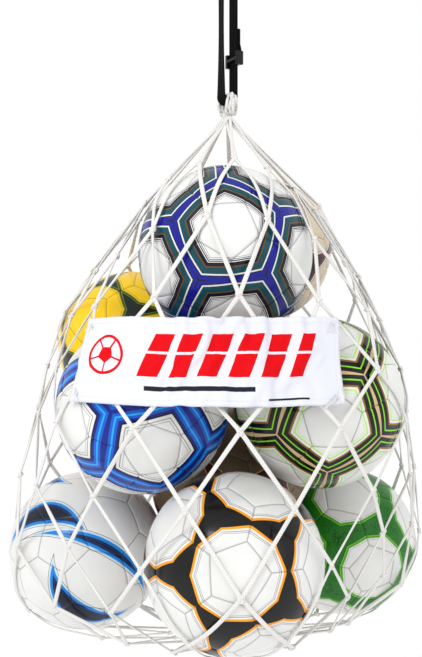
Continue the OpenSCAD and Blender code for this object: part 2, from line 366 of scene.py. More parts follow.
def ball_mesh():
    points, faces, depth, count = [], [], [], 0
    for middle, corners in panels():
        n = len(corners)
        inner = BALL_R * math.asin(float(middle @ unit(np.cross(corners[0], corners[1]))))
        rim, ahead = [], []
        for e in range(n):
            a, b = corners[e], corners[(e + 1) % n]
            f = (np.arange(EDGE_STEPS) / EDGE_STEPS)[:, None]
            rim.append(unit(a * (1 - f) + b * f))
            ahead.append(np.repeat(unit(np.cross(a, b))[None], EDGE_STEPS, 0))
        rim, ahead = np.vstack(rim), np.vstack(ahead)
        columns = len(rim)
        for d in SEAM_STEPS:
            t = 1 - d / inner
            points.append(unit(middle * (1 - t) + rim * t))
            depth.append(BALL_R * np.arcsin((points[-1] * ahead).sum(1)))
        points.append(middle[None])
        depth.append([inner])
        k = np.arange(columns)
        for r in range(len(SEAM_STEPS) - 1):
            a, b = count + r * columns + k, count + r * columns + (k + 1) % columns
            faces += np.stack([a, b, b + columns, a + columns], -1).tolist()
        last = count + (len(SEAM_STEPS) - 1) * columns
        faces += [(last + i, last + (i + 1) % columns, last + columns) for i in range(columns)]
        count += len(SEAM_STEPS) * columns + 1
    points, depth = np.vstack(points), np.concatenate(depth)
    sunk = sum(deep * np.exp(-((depth / wide) ** 2)) for deep, wide in (GROOVE, DIP))
    made = mesh_object("ball", points * (BALL_R - sunk)[:, None], faces)
    layer = made.data.attributes.new("seam", "FLOAT", "POINT")
    layer.data.foreach_set("value", depth.astype(np.float32))
    edit = bmesh.new()
    edit.from_mesh(made.data)
    bmesh.ops.remove_doubles(edit, verts=edit.verts, dist=2e-5)
    bmesh.ops.recalc_face_normals(edit, faces=edit.faces)
    edit.to_mesh(made.data)
    edit.free()
    return made


def cell_group():
    """A node group: from a direction, the distances in mm to its five-fold cell's edge and corner."""
    tree = bpy.data.node_groups.new("ball_cells", "ShaderNodeTree")
    tree.interface.new_socket("Direction", in_out="INPUT", socket_type="NodeSocketVector")
    for name in ("Edge", "Corner"):
        tree.interface.new_socket(name, in_out="OUTPUT", socket_type="NodeSocketFloat")
    g = Graph(tree)
    p = g.node("NodeGroupInput").outputs[0]
    out = g.node("NodeGroupOutput")
    halves = lambda all_of: [v for v in all_of if tuple(v.round(6)) > (0, 0, 0)]
    near = lambda v: g.math("ABSOLUTE", g.dot(p, tuple(v)))
    first, second = near(halves(AXES)[0]), 0.0
    for v in halves(AXES)[1:]:
        x = near(v)
        second = g.math("MAXIMUM", second, g.math("MINIMUM", first, x))
        first = g.math("MAXIMUM", first, x)
    apart = float(np.linalg.norm(AXES[TRIOS[0][0]] - AXES[TRIOS[0][1]]))
    edge = g.math("ARCSINE", g.math("DIVIDE", g.math("SUBTRACT", first, second), apart))
    corner = near(halves(CORNERS)[0])
    for v in halves(CORNERS)[1:]:
        corner = g.math("MAXIMUM", corner, near(v))
    mm = BALL_R * 1000
    g.put(out.inputs[0], g.product(edge, mm))
    g.put(out.inputs[1], g.product(g.math("ARCCOSINE", g.math("MINIMUM", corner, 1.0)), mm))
    return tree


class BallPaint(Paint):
    """A ball's material. Distances are in millimetres on its surface."""

    def __init__(self, number, cells):
        super().__init__(f"casing_{number}", coat_weight=0.18, coat_roughness=0.10, ior=1.3)
        self.own = np.array(facing(*FACINGS[number - 1]).to_3x3())
        place = self.position()
        back = {k: self.dot(place, tuple(self.own[:, k])) for k in range(3)}
        turned = self.node("ShaderNodeCombineXYZ", back).outputs[0]
        self.p = self.node("ShaderNodeVectorMath", {0: turned}, operation="NORMALIZE").outputs[0]
        group = self.node("ShaderNodeGroup", node_tree=cells)
        self.put(group.inputs[0], self.p)
        self.edge, self.corner = group.outputs[:2]
        self.now = linear(WHITE)

    def layer(self, u, stops, until):
        """Paints stops of colour by u, wherever u is below until."""
        low = stops[0][0]
        shifted = self.math("SUBTRACT", u, low)
        top = until - low + 1
        painted = self.ramp(shifted, [(s - low, c) for s, c in stops], steps=True, top=top)
        self.now = self.mix(self.math("LESS_THAN", u, until), self.now, painted)

    def band(self, stops, until, taper, bulge):
        """Bands along the cells' edges. Taper narrows them away from the corners, and bulge shifts them."""
        u = self.math("ADD", self.edge, self.product(self.corner, taper))
        self.layer(self.math("ADD", u, bulge), stops, until)

    def crescent(self, axis, spread, toward, width, stops, until):
        """A stroke on the circle that is spread degrees from axis, broad at toward and then tapered."""
        a = unit(axis)
        b = unit(toward - a * (toward @ a))
        x = self.dot(self.p, tuple(a))
        off = self.math("ABSOLUTE", self.math("SUBTRACT", self.math("ARCCOSINE", x), math.radians(spread)))
        square = self.math("SUBTRACT", 1.0, self.product(x, x))
        rim = self.math("SQRT", self.math("MAXIMUM", square, 1e-4))
        f = self.math("DIVIDE", self.dot(self.p, tuple(b)), rim, clamp=True)
        half = self.math("MULTIPLY_ADD", self.product(f, f), 1.35 * width, -0.35 * width)
        self.layer(self.math("SUBTRACT", self.product(off, BALL_R * 1000), half), stops, until)

    def done(self):
        """Seam lines, a little dirt and the casing's grain."""
        seam = self.node("ShaderNodeAttribute", attribute_name="seam").outputs["Fac"]
        line = self.ramp(seam, [(0, (0, 0, 0, 1)), (0.0013, (1, 1, 1, 1))], top=0.002)
        shade = self.ramp(self.noise(9, 4), [(0.35, (0.955, 0.955, 0.95)), (0.7, (1.0, 1.0, 1.0))])
        panel = self.times(self.now, shade)
        self.color(self.mix(line, self.times(panel, linear((0.72, 0.72, 0.72))), panel))
        gloss = [(0.3, (0.26, 0.26, 0.26, 1)), (0.75, (0.37, 0.37, 0.37, 1))]
        self.put(self.shader.inputs["Roughness"], self.ramp(self.noise(24, 3), gloss))
        pores = {"Scale": 620, "Vector": self.position()}
        self.bump(self.node("ShaderNodeTexVoronoi", pores).outputs["Distance"], 0.10, 0.0002)
        return self.material


WHITE = (0.895, 0.895, 0.89)
BLACK = (0.03, 0.03, 0.035)
GREY = (0.56, 0.56, 0.57)


def paint_1(p):
    amber = (0.95, 0.62, 0.06)
    stops = [(-30, BLACK), (-4.4, amber), (-0.6, WHITE), (2.4, GREY), (3.4, WHITE), (5.0, GREY), (5.8, WHITE)]
    p.band(stops, 8, taper=0.42, bulge=-24)


def paint_2(p):
    """Broad crescents that thin out into long spikes."""
    navy, deep, sky, pale = (0.01, 0.05, 0.14), (0.03, 0.15, 0.34), (0.06, 0.50, 0.84), (0.66, 0.83, 0.94)
    ribbon = [(-30, navy), (-8.0, deep), (-4.6, sky), (-0.6, pale), (0.8, WHITE), (2.2, navy), (2.8, WHITE)]
    # Each stroke: x and z of its circle's axis, the circle's spread, where it is widest, and its width
    strokes = (
        (-0.42, -0.05, 41, (-0.25, 0, 1.0), 17),
        (0.46, 0.02, 44, (-0.7, 0, -0.9), 17),
        (-0.20, -0.62, 62, (0.55, 0, 0.9), 9),
        (0.30, 1.0, 46, (-1.0, 0, -0.3), 17),
        (1.0, 0.35, 40, (-1.0, 0, 0.35), 13),
        (-0.9, -0.6, 38, (0.2, 0, -1.0), 12),
    )
    for x, z, spread, toward, width in strokes:
        y = -math.sqrt(1 - x * x - z * z) if x * x + z * z < 1 else 0.3
        p.crescent(p.own.T @ unit((x, y, z)), spread, p.own.T @ np.array(toward), width, ribbon, 3.4)


def paint_3(p):
    """Green bands, with darker spots along their middle."""
    deep, green, lime = (0.02, 0.24, 0.06), (0.10, 0.45, 0.08), (0.42, 0.74, 0.20)
    stops = [
        (-30, green), (-4.5, deep), (-3.6, lime), (-1.4, green), (-0.4, lime), (1.2, WHITE),
        (3.2, GREY), (3.8, WHITE),
    ]
    p.band(stops, 5, taper=0.26, bulge=-23)
    dots = p.node("ShaderNodeTexVoronoi", {"Scale": 420, "Vector": p.position()}).outputs["Distance"]
    inner = p.math("MULTIPLY_ADD", p.corner, 0.26, p.edge)
    size = p.math("MULTIPLY_ADD", inner, -0.018, 0.50)
    spots = p.product(p.math("LESS_THAN", dots, size), p.math("LESS_THAN", inner, 18.5))
    p.now = p.mix(spots, p.now, linear(deep))


def paint_4(p):
    navy, royal, blue, cyan = (0.01, 0.02, 0.08), (0.02, 0.12, 0.52), (0.02, 0.36, 0.80), (0.10, 0.66, 0.95)
    stops = [
        (-30, royal), (-14.0, blue), (-10.5, cyan), (-8.3, blue), (-5.0, royal), (-2.2, navy), (0, WHITE),
        (3.4, GREY), (4.4, WHITE), (6.6, GREY), (7.2, WHITE),
    ]
    p.band(stops, 9, taper=-0.06, bulge=-16)


def paint_5(p):
    lime, gold, mint, beige = (0.52, 0.85, 0.12), (0.55, 0.38, 0.14), (0.74, 0.88, 0.55), (0.80, 0.70, 0.52)
    stops = [
        (-30, beige), (-14.2, BLACK), (-9, lime), (-7.2, BLACK), (-1.6, gold), (0.8, WHITE), (3.4, mint),
        (5.8, WHITE), (7.6, mint), (8.4, WHITE),
    ]
    p.band(stops, 10, taper=-0.05, bulge=-15)


def paint_6(p):
    yellow = (0.98, 0.80, 0.02)
    p.now = linear(yellow)
    dark, olive = (0.05, 0.11, 0.07), (0.48, 0.52, 0.05)
    stops = [(-30, dark), (-3, olive), (-1.8, dark), (0, olive), (1.8, yellow), (4.0, olive), (4.8, yellow)]
    p.band(stops, 6, taper=0.34, bulge=-15)


def paint_7(p):
    # This ball's tan is painted darker than its own colour: painted shade, for the shade it sits in deep
    # between the other balls.
    shaded_tan = (0.42, 0.35, 0.27)
    p.now = linear(shaded_tan)
    maroon, dark, sand = (0.32, 0.07, 0.08), (0.14, 0.10, 0.09), (0.75, 0.68, 0.55)
    p.band([(-30, dark), (-6, maroon), (0, sand), (1.4, shaded_tan)], 3, taper=0.30, bulge=-14)


def paint_8(p):
    steel, sky = (0.12, 0.34, 0.55), (0.40, 0.66, 0.85)
    p.band([(-30, steel), (-5, sky), (0, WHITE), (2, GREY), (2.6, WHITE)], 4, taper=0.25, bulge=-15)


def paint_9(p):
    navy, royal, teal, gold = (0.02, 0.035, 0.12), (0.035, 0.07, 0.55), (0.0, 0.27, 0.31), (0.42, 0.27, 0.10)
    stops = [
        (-30, navy), (-24.2, royal), (-19.4, navy), (-18.2, WHITE), (-16.4, teal), (-8.6, gold), (-7.0, navy),
        (-2.4, WHITE), (-1.4, navy), (-0.2, WHITE), (0.9, navy), (1.6, WHITE), (3.0, GREY), (3.6, WHITE),
    ]
    p.band(stops, 6, taper=0.06, bulge=-25)


def paint_10(p):
    beige = (0.84, 0.78, 0.68)
    p.now = linear(beige)
    maroon, dark = (0.40, 0.10, 0.12), (0.13, 0.11, 0.11)
    stops = [(-30, dark), (-5, maroon), (0, WHITE), (1.5, beige), (3.2, dark), (3.9, beige)]
    p.band(stops, 5, taper=0.30, bulge=-15)


PAINTS = (paint_1, paint_2, paint_3, paint_4, paint_5, paint_6, paint_7, paint_8, paint_9, paint_10)
# Where each ball's five-fold axis points, and the roll about it in degrees
FACINGS = (
    ((0.02, -1.0, 0.12), 20),
    ((-0.2, -1.0, 0.3), 10),
    ((0.3, -1.0, -0.2), 50),
    ((-0.05, -1.0, 0.75), 15),
    ((0.05, -1.0, -0.15), 35),
    ((-0.7, -1.0, 0.5), 0),
    ((0.2, -1.0, 0.9), 10),
    ((0.5, 0.6, 0.4), 0),
    ((0.02, -1.0, 0.2), 5),
    ((0.7, -0.6, 0.4), 30),
)


def facing(about, roll):
    """Rotation that turns the first five-fold axis to point along about."""
    z = unit(about)
    x = unit(np.cross((0, 0, 1), z))
    to = np.stack([x, np.cross(z, x), z], 1)
    a = AXES[0]
    b = unit(np.cross(a, AXES[np.flatnonzero(NEAR[0])[0]]))
    own = np.stack([b, np.cross(a, b), a], 1)
    spin = np.array(Matrix.Rotation(math.radians(roll), 3, "Z"))
    return Matrix((to @ spin @ own.T).tolist()).to_4x4()


def make_balls():
    base = ball_mesh()
    cells = cell_group()
    rubber = Paint("valve", roughness=0.55)
    rubber.mottle(300, 2, (0.10, 0.10, 0.10), (0.16, 0.16, 0.16))
    for i, centre in enumerate(BALLS):
        ball = base if i == len(BALLS) - 1 else base.copy()
        ball.name = f"ball_{i + 1}_skin"
        if ball is not base:
            ball.data = base.data.copy()
            bpy.context.scene.collection.objects.link(ball)
        ball.data.transform(facing(*FACINGS[i]))
        ball.location = centre
        paint = BallPaint(i + 1, cells)
        PAINTS[i](paint)
        ball.data.materials.append(paint.done())
        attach(ball, f"ball_{i + 1}")
        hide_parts(f"ball_{i + 1}_casing", f"ball_{i + 1}_bladder", f"ball_{i + 1}_valve")
        rim = valve_rim(i, centre, rubber.material)
        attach(rim, f"ball_{i + 1}")


def valve_rim(i, centre, rubber):
    """The valve's rubber rim with its needle hole, flush with the ball."""
    # Radius, and height above the ball
    profile = [
        (0.0036, -0.0007), (0.0034, 0.0001), (0.0028, 0.0004),
        (0.0014, 0.0003), (0.0009, -0.0002), (0.0008, -0.0012),
    ]
    turns = 20
    out = heading(*VALVES[i])
    x = unit(np.cross(out, (0.1, 0.2, 0.97)))
    a = np.linspace(0, 2 * math.pi, turns, endpoint=False)[:, None]
    spokes = x * np.cos(a) + np.cross(out, x) * np.sin(a)
    points = np.vstack([centre + out * (BALL_R + h) + spokes * r for r, h in profile])
    k = np.arange(len(points) - turns)
    ahead = k + 1 - turns * (k % turns == turns - 1)
    faces = np.stack([k, ahead, ahead + turns, k + turns], -1).tolist()
    faces += [range(len(points) - turns, len(points)), reversed(range(turns))]
    return mesh_object(f"ball_{i + 1}_valve_rim", points, faces, material=rubber)


# ---- Net: the hull on which it lies, its knots and its cords ----


def heading(about, up):
    """The direction this many degrees about Z and up."""
    a, u = np.radians(about), np.radians(up)
    return np.stack([np.cos(u) * np.cos(a), np.cos(u) * np.sin(a), np.sin(u) * np.ones_like(a)], -1)


# Directions all round the balls, the balls' reach in each, and how far the net's two ends come
HULL = np.concatenate([heading(np.arange(0, 360, 5.0), u) for u in np.arange(-87.5, 90, 5)])
REACH = (HULL @ (BALLS - MIDDLE).T).max(1) + BALL_R
CLOSE = np.maximum(HULL @ (BULB - MIDDLE), HULL @ (TIE - MIDDLE))


def hull_point(about, up, lift):
    """Where a line from the middle meets a film drawn tight round the balls, the gather and the tie."""
    e = heading(about, up)
    along = e @ HULL.T
    far = np.maximum(REACH + lift, CLOSE)[None] / np.where(along > 0.1, along, np.nan)
    return MIDDLE + e * np.nanmin(far, 1)[:, None]


def front_y(x, z, lift):
    """The hull's front surface at x and z."""
    front = HULL[:, 1] < -0.3
    e, reach = HULL[front], REACH[front] + lift
    free = reach - np.multiply.outer(x, e[:, 0]) - np.multiply.outer(z - MIDDLE[2], e[:, 2])
    return (free / e[:, 1]).max(-1)


def row_knots(k):
    """A row's knots, evenly spaced round the hull but for their crowding to the front."""
    about = FRONT + np.arange(0, 361, 2.5)
    path = hull_point(about, ROWS[k], KNOT_LIFT)
    lengths = travelled(path)
    turn = (np.arange(MESHES) + (0 if k % 2 == 0 else 0.5)) / MESHES
    share = turn - CROWD[k] * np.sin(2 * math.pi * turn) / (2 * math.pi)
    return hull_point(np.interp(lengths[-1] * share, lengths, about), ROWS[k], KNOT_LIFT)


def below(k, j, side):
    """The knot of the next row that a knot's cord on this side comes down to."""
    return (j + side - (1 if k % 2 == 0 else 0)) % MESHES


def outward(p):
    """The way out of the bag at each point, from the balls near it."""
    away = p[:, None] - BALLS[None]
    far = np.linalg.norm(away, axis=2)
    return unit((away / far[:, :, None] * ((far - BALL_R + 0.004) ** -2)[:, :, None]).sum(1))


def push_out(p, lift):
    """Points moved off the nearest ball, until they clear it by lift."""
    away = p[:, None] - BALLS[None]
    far = np.linalg.norm(away, axis=2)
    near = far.argmin(1)
    i = np.arange(len(p))
    grow = np.maximum(1, (BALL_R + lift) / far[i, near])
    return BALLS[near] + away[i, near] * grow[:, None]


def taut(p, q):
    """A cord drawn tight from p to q round the balls."""
    f = np.linspace(0, 1, CORD_POINTS)[:, None]
    path = p * (1 - f) + q * f
    for _ in range(PULLS):
        path[1:-1] += 0.5 * ((path[:-2] + path[2:]) / 2 - path[1:-1])
        path[1:-1] = push_out(path[1:-1], CORD_LIFT)
    return path


def twisted(path, amount):
    """The cord's broad face looks outward, and leans a little along its length."""
    n = outward(path)
    along = unit(np.gradient(path, axis=0))
    n = unit(n - along * (n * along).sum(1)[:, None])
    side = np.cross(along, n)
    f = np.linspace(0, 1, len(path))
    a = amount[0] * np.sin(math.pi * f) + amount[1] * np.sin(2 * math.pi * f)
    return n * np.cos(a)[:, None] + side * np.sin(a)[:, None]


def add_knot(sweeps, p, size=1.0):
    """A tight overhand knot, with its broad side to the balls."""
    n = outward(p[None])[0]
    up = unit(np.array((0, 0, 1.0)) - n * n[2])
    side = np.cross(up, n)
    t = np.linspace(0, 2 * math.pi, 30, endpoint=False)[:, None] + rng.uniform(0, 6)
    r = 0.00125 * size
    across, along = np.sin(t) + 2 * np.sin(2 * t), np.cos(t) - 2 * np.cos(2 * t)
    path = p + across * r * 0.86 * side + along * r * 1.15 * up + -np.sin(3 * t) * r * n
    sweeps.add(path, path - p + n * 0.002, oval(*KNOT_SECTION), closed=True)


def cord_material():
    """Flat braid: two sets of strands that cross, in a herringbone down the cord's middle. Its colour holds
    painted shade in the grooves between strands.
    """
    g = Paint("net_cord", roughness=0.85, ior=1.25)
    u, v = g.uv()[:2]
    across = g.math("ABSOLUTE", g.math("SUBTRACT", u, 0.5))
    slope = g.math("MULTIPLY_ADD", across, 5.2, g.product(v, 620.0))
    plait = g.math("ABSOLUTE", g.math("SINE", g.product(slope, math.pi / 2)))
    fibre = g.noise(2600, 2)
    mark = g.math("MULTIPLY_ADD", fibre, 0.35, g.product(plait, 0.65))
    # Colour darkens where the plait is low: painted shade in the braid's grooves. The fibre noise is the
    # cord's own tone.
    g.color(g.ramp(mark, [(0.15, (0.77, 0.76, 0.735)), (0.6, (0.89, 0.885, 0.875))]))
    g.bump(mark, 0.35, 0.0005)
    return g.material


def make_net():
    """Each row's knots with the cords down to the next row, or from the last to the draw cord."""
    cord = cord_material()
    section = oval(CORD_W, CORD_T, 10)
    rows = [row_knots(k) for k in range(len(ROWS))]
    paths = []
    for k, knots in enumerate(rows):
        sweeps = Sweeps()
        for p in knots:
            add_knot(sweeps, p)
        for j, p in enumerate(knots):
            if k == len(rows) - 1:
                foot = TIE + unit(p * (1, 1, 0)) * (TIE_R + 0.002)
                side = unit(np.cross(foot - p, (0, 0, 1)))
                for s in (-1, 1):
                    path = taut(p + side * s * 0.0018, foot + side * s * 0.0012)
                    sweeps.add(path, twisted(path, (0.3 * s, 0)), oval(*PAIR_SECTION))
                continue
            for side in (0, 1):
                q = rows[k + 1][below(k, j, side)]
                path = taut(p, q)
                paths.append(path)
                sweeps.add(path, twisted(path, rng.normal(0, (0.25, 0.18))), section)
        net = sweeps.object(f"net_row_{k + 1}_cords", cord)
        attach(net, "net")
        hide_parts(f"net_row_{k + 1}")
    return rows, np.concatenate(paths), cord


# ---- Mouth: each loop runs from its knot over the strap's lower bend and back ----

TURN = np.array(Matrix.Rotation(math.radians(STRAP_TURN), 3, "Z"))
# The bunch over the bend: its radius, and how far its first layer stands off and each further one
BUNCH_R = 0.0060
STAND_OFF = 0.0125
LAYER = 0.0016


def make_mouth(first_row, cord):
    sweeps = Sweeps()
    core = np.array((0, 0, GATHER_Z - 0.03))
    for j, knot in enumerate(first_row):
        # Where the loop lies in the bunch, and which of its sides is nearer to its knot
        own = knot @ TURN
        front = 1 if own[1] > 0 else -1
        r, a = BUNCH_R * math.sqrt((j + 0.5) / MESHES), 2.4 * j
        x, z = r * math.cos(a), GATHER_Z - 0.0012 + 0.8 * r * math.sin(a)
        lean = 0.006 * math.sin(math.atan2(own[0], abs(own[1])))
        side = unit(np.cross(knot - BULB, (0, 0, 1)))
        out = STAND_OFF + LAYER * (j % 3)
        ends = []
        for s in (front, -front):
            beside = TURN @ np.array((x + lean / 2, s * out, z - 0.004))
            under = TURN @ np.array((x * 0.8 + lean, s * out * 0.75, GATHER_Z - 0.0165))
            throat = BULB + unit(knot - BULB) * 0.012 + side * s * 0.0016 + TURN @ np.array((0, s * 0.003, 0))
            foot = knot + side * s * front * 0.0018
            if s == front:
                under = (under + throat) / 2
            ends.append([beside, under, throat, foot])
        over = [TURN @ np.array((x, y, z)) for y in (front * 0.009, 0, -front * 0.009)]
        path = smooth_path([*ends[0][::-1], *over, *ends[1]], 110)
        low = path[:, 2] < -0.30
        path[low] = push_out(path[low], CORD_LIFT)
        normals = np.where(path[:, 2:] > GATHER_Z - 0.02, path - core, outward(path))
        sweeps.add(path, normals + rng.normal(0, 0.08, 3), oval(*LOOP_SECTION))
    mouth = sweeps.object("mouth_loops", cord)
    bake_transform(mouth)
    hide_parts("mouth_gather", "mouth_strands")


def make_tie(cord):
    sweeps = Sweeps()
    a = np.linspace(0, 2 * math.pi, 60, endpoint=False)
    ring = TIE + np.stack([np.cos(a) * TIE_R, np.sin(a) * TIE_R, 0.0005 * np.sin(5 * a)], -1)
    sweeps.add(ring, (0, 0, 1.0) + (ring - TIE) * 30, oval(*RING_SECTION), closed=True)
    knot = TIE + np.array((0, -TIE_R, -0.003))
    add_knot(sweeps, knot, 1.1)
    for lean in (-0.25, 0.28):
        end = knot + np.array((math.sin(lean) * 0.018, -0.002, -math.cos(lean) * 0.016))
        path = smooth_path([knot, (knot + end) / 2 + np.array((0, -0.002, 0)), end], 14)
        sweeps.add(path, (0, -1.0, 0.2), oval(*END_SECTION))
    tie = sweeps.object("bottom_draw_cord", cord)
    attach(tie, "net")
    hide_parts("bottom_tie")


# ---- Strap: a closed loop of webbing, its slider and the spare end ----

# Places across the strap are X before TURN. The slider's inner flat bar is inside the strand, its
# outer flat bar and its round bar are outside, and the spare end is folded round the round bar.
STRAND_X = BEND_R + WEB_T / 2
SLIDER_H = 0.019
SLIDER_W = 0.033
POST_W = 0.0051
BAR_T = 0.0026
BAR_H = 0.0036
ROUND_R = 0.0015
OUTER_X = BEND_R + WEB_T + 0.0003
INNER_X = BEND_R - 0.0003 - BAR_T
ROUND_X = OUTER_X + WEB_T + 0.0006 + ROUND_R
ROUND_Z = SLIDER_Z + SLIDER_H / 2 - ROUND_R
TAIL_X = ROUND_X - ROUND_R - 0.0001 - WEB_T + 0.0003
TAIL_LEN = 0.034
SEAM_FROM = 0.012


def web_section():
    """The webbing's section: two flat faces with rounded selvedges."""
    x = np.linspace(1, -1, 13)
    thick = WEB_T / 2 * np.minimum(1, 0.45 + 3.2 * (1 - np.abs(x)) ** 0.6)
    top = np.stack([x * WEB_W / 2, thick], -1)
    return np.vstack([top, (top * (1, -1))[::-1]])


def web_material():
    g = Paint("webbing", roughness=0.8, ior=1.15)
    u, v = g.uv()[:2]
    column = g.math("FLOOR", g.product(u, 12.0))
    pick = g.math("SINE", g.math("MULTIPLY_ADD", column, math.pi, g.product(v, math.pi / 0.0016)))
    ridge = g.math("ABSOLUTE", g.math("SINE", g.product(u, 12 * math.pi)))
    weave = g.product(g.math("MULTIPLY_ADD", pick, 0.5, 0.5), ridge)
    mark = g.math("MULTIPLY_ADD", g.noise(1800, 2), 0.4, g.product(weave, 0.6))
    # Colour darkens where the weave is low: painted shade between the ribs and picks. The fibre noise is the
    # webbing's own tone.
    g.color(g.ramp(mark, [(0.15, (0.025, 0.025, 0.03)), (0.75, (0.085, 0.085, 0.09))]))
    g.bump(mark, 0.6, 0.0005)
    return g.material


def make_strap(web):
    """The closed loop. Its left strand leans a little between the two bends."""
    top, low = -BEND_R, GATHER_Z
    turn = np.linspace(0, math.pi, 25)
    z = np.linspace(top, low, 70)[1:-1]
    arc = lambda centre, a: np.stack([STRAND_X * np.cos(a), 0 * a, centre + STRAND_X * np.sin(a)], -1)
    left = np.stack([-STRAND_X + 0 * z, 0 * z, z], -1)
    right = np.stack([STRAND_X + 0 * z, 0 * z, z[::-1]], -1)
    path = np.vstack([arc(top, turn), left, arc(low, turn + math.pi), right])
    centre = np.clip(path[:, 2], low, top)
    across, high = path[:, 0], path[:, 2] - centre
    share = np.sin(math.pi * (centre - low) / (top - low)) ** 0.8
    lean = np.radians(np.where(across < 0, -13.0, 0.0)) * share
    normal = np.stack([across * np.cos(lean), across * np.sin(lean), high], -1)
    sweeps = Sweeps()
    sweeps.add(path @ TURN.T, unit(normal) @ TURN.T, web_section(), closed=True)
    strap = sweeps.object("strap_loop", web)
    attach(strap, "strap")
    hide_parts("strap_webbing")


def make_spare_end(web):
    """Down beside the strand, round the round bar, and up again to be sewn to itself."""
    fold = ROUND_R + 0.0001 + WEB_T / 2
    a = np.linspace(math.pi, 2 * math.pi, 15)
    down = [(TAIL_X + WEB_T / 2, 0, ROUND_Z + h) for h in np.linspace(TAIL_LEN, 0.004, 10)]
    round_bar = np.stack([ROUND_X + fold * np.cos(a), 0 * a, ROUND_Z + fold * np.sin(a)], -1)
    up = [(ROUND_X + fold - 0.0009, 0, ROUND_Z + 0.004), (ROUND_X + 0.0008, 0, ROUND_Z + 0.008)]
    up += [(TAIL_X + 1.5 * WEB_T, 0, ROUND_Z + h) for h in np.linspace(SEAM_FROM, TAIL_LEN - 0.0006, 8)]
    path = smooth_path(np.vstack([down, round_bar, up]), 90)
    normal = np.cross(unit(np.gradient(path, axis=0)), (0, 1.0, 0))
    sweeps = Sweeps()
    sweeps.add(path @ TURN.T, normal @ TURN.T, web_section())
    tail = sweeps.object("strap_spare_end", web)
    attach(tail, "slider")
    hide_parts("strap_tail")


def make_box_stitches():
    """A box with a cross in it, sewn through both layers of the spare end."""
    thread = Paint("stitch_thread", roughness=0.6)
    thread.mottle(4000, 1, (0.10, 0.10, 0.11), (0.18, 0.18, 0.19))
    x = TAIL_X + 2 * WEB_T + 0.0001
    y, low, high = 0.0088, ROUND_Z + 0.0140, ROUND_Z + 0.0325
    a, b, c, d = (np.array(p) for p in ((x, -y, low), (x, y, low), (x, -y, high), (x, y, high)))
    sweeps = Sweeps()
    for start, end in ((a, b), (c, d), (a, c), (b, d), (a, d), (b, c)):
        add_stitches(sweeps, start, end, np.array((1.0, 0, 0)), 0.0026, TURN)
    stitches = sweeps.object("strap_box_stitches", thread.material)
    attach(stitches, "slider")
    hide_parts("strap_stitches")


def add_stitches(sweeps, a, b, out, pitch, turn=np.eye(3)):
    """A row of stitches from a to b, each a short thread that dives into the cloth at both ends."""
    length = np.linalg.norm(b - a)
    count = max(1, int(length / pitch))
    t = np.linspace(-1, 1, 6)
    for k in range(count):
        middle = a + (b - a) * (k + 0.5) / count
        path = middle + unit(b - a) * t[:, None] * pitch * 0.40 + out * (0.00022 - 0.00055 * t[:, None] ** 4)
        sweeps.add(path @ turn.T, turn @ out, oval(0.0006, 0.0005, 6, 1.0))


def make_slider():
    """Moulded slider: posts and bars melted together by a fine remesh, as moulding rounds them."""
    edit = bmesh.new()

    def block(x0, x1, y0, y1, z0, z1):
        size = Vector((x1 - x0, y1 - y0, z1 - z0))
        place = Matrix.Translation(((x0 + x1) / 2, (y0 + y1) / 2, (z0 + z1) / 2))
        bmesh.ops.create_cube(edit, size=1, matrix=place @ Matrix.Diagonal((*size, 1)))

    half = SLIDER_W / 2
    z0, z1 = SLIDER_Z - SLIDER_H / 2, SLIDER_Z + SLIDER_H / 2
    for s in (-1, 1):
        a, b = sorted((s * half, s * (half - POST_W)))
        block(INNER_X, ROUND_X + ROUND_R, a, b, z0, z1)
    block(OUTER_X, OUTER_X + BAR_T, -half, half, z0, z0 + BAR_H)
    block(INNER_X, INNER_X + BAR_T, -half, half, SLIDER_Z - BAR_H / 2, SLIDER_Z + BAR_H / 2)
    place = Matrix.Translation((ROUND_X, 0, ROUND_Z)) @ Matrix.Rotation(math.pi / 2, 4, "X")
    round_bar = {"radius1": ROUND_R, "radius2": ROUND_R, "depth": SLIDER_W}
    bmesh.ops.create_cone(edit, cap_ends=True, segments=24, matrix=place, **round_bar)
    mesh = bpy.data.meshes.new("slider_moulding")
    edit.to_mesh(mesh)
    edit.free()
    slider = bpy.data.objects.new("slider_moulding", mesh)
    bpy.context.scene.collection.objects.link(slider)
    melt = slider.modifiers.new("melt", "REMESH")
    melt.mode, melt.voxel_size, melt.use_smooth_shade = "VOXEL", 0.0004, True
    soften = slider.modifiers.new("soften", "SMOOTH")
    soften.factor, soften.iterations = 0.6, 4
    done = bpy.data.meshes.new_from_object(slider.evaluated_get(bpy.context.evaluated_depsgraph_get()))
    slider.modifiers.clear()
    slider.data = done
    done.transform(Matrix.Rotation(math.radians(STRAP_TURN), 4, "Z"))
    g = Paint("slider_plastic", roughness=0.28, ior=1.3)
    g.mottle(500, 3, (0.03, 0.03, 0.035), (0.055, 0.055, 0.06))
    g.bump(g.noise(3500, 2), 0.2, 0.0002)
    done.materials.append(g.material)
    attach(slider, "slider")
    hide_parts("slider")


# ---- Banner: a printed cloth tied on in front, which settles against the cords and knots ----

FLAT_W = 0.352
FLAT_H = 0.1035
BANNER_LOW = -0.632
BANNER_H = 0.100
CLOTH_T = 0.0006
# Its left and right edges at the bottom, and how much they slant
LEFT, LEFT_SLANT = -0.192, 0.020
RIGHT, RIGHT_SLANT = 0.130, -0.006
# The cloth's cells, the hem's place in cells from the edge, and the steps in which it settles
COLUMNS = 100
LINES = 30
HEM = 2
SETTLE = 300


def draw_together(p, q, rest, strength):
    """Moves each pair of points towards the distance rest, in place."""
    d = q - p
    far = np.linalg.norm(d, axis=-1, keepdims=True)
    move = d * (1 - rest / np.maximum(far, 1e-9)) * strength / 2
    p += move
    q -= move


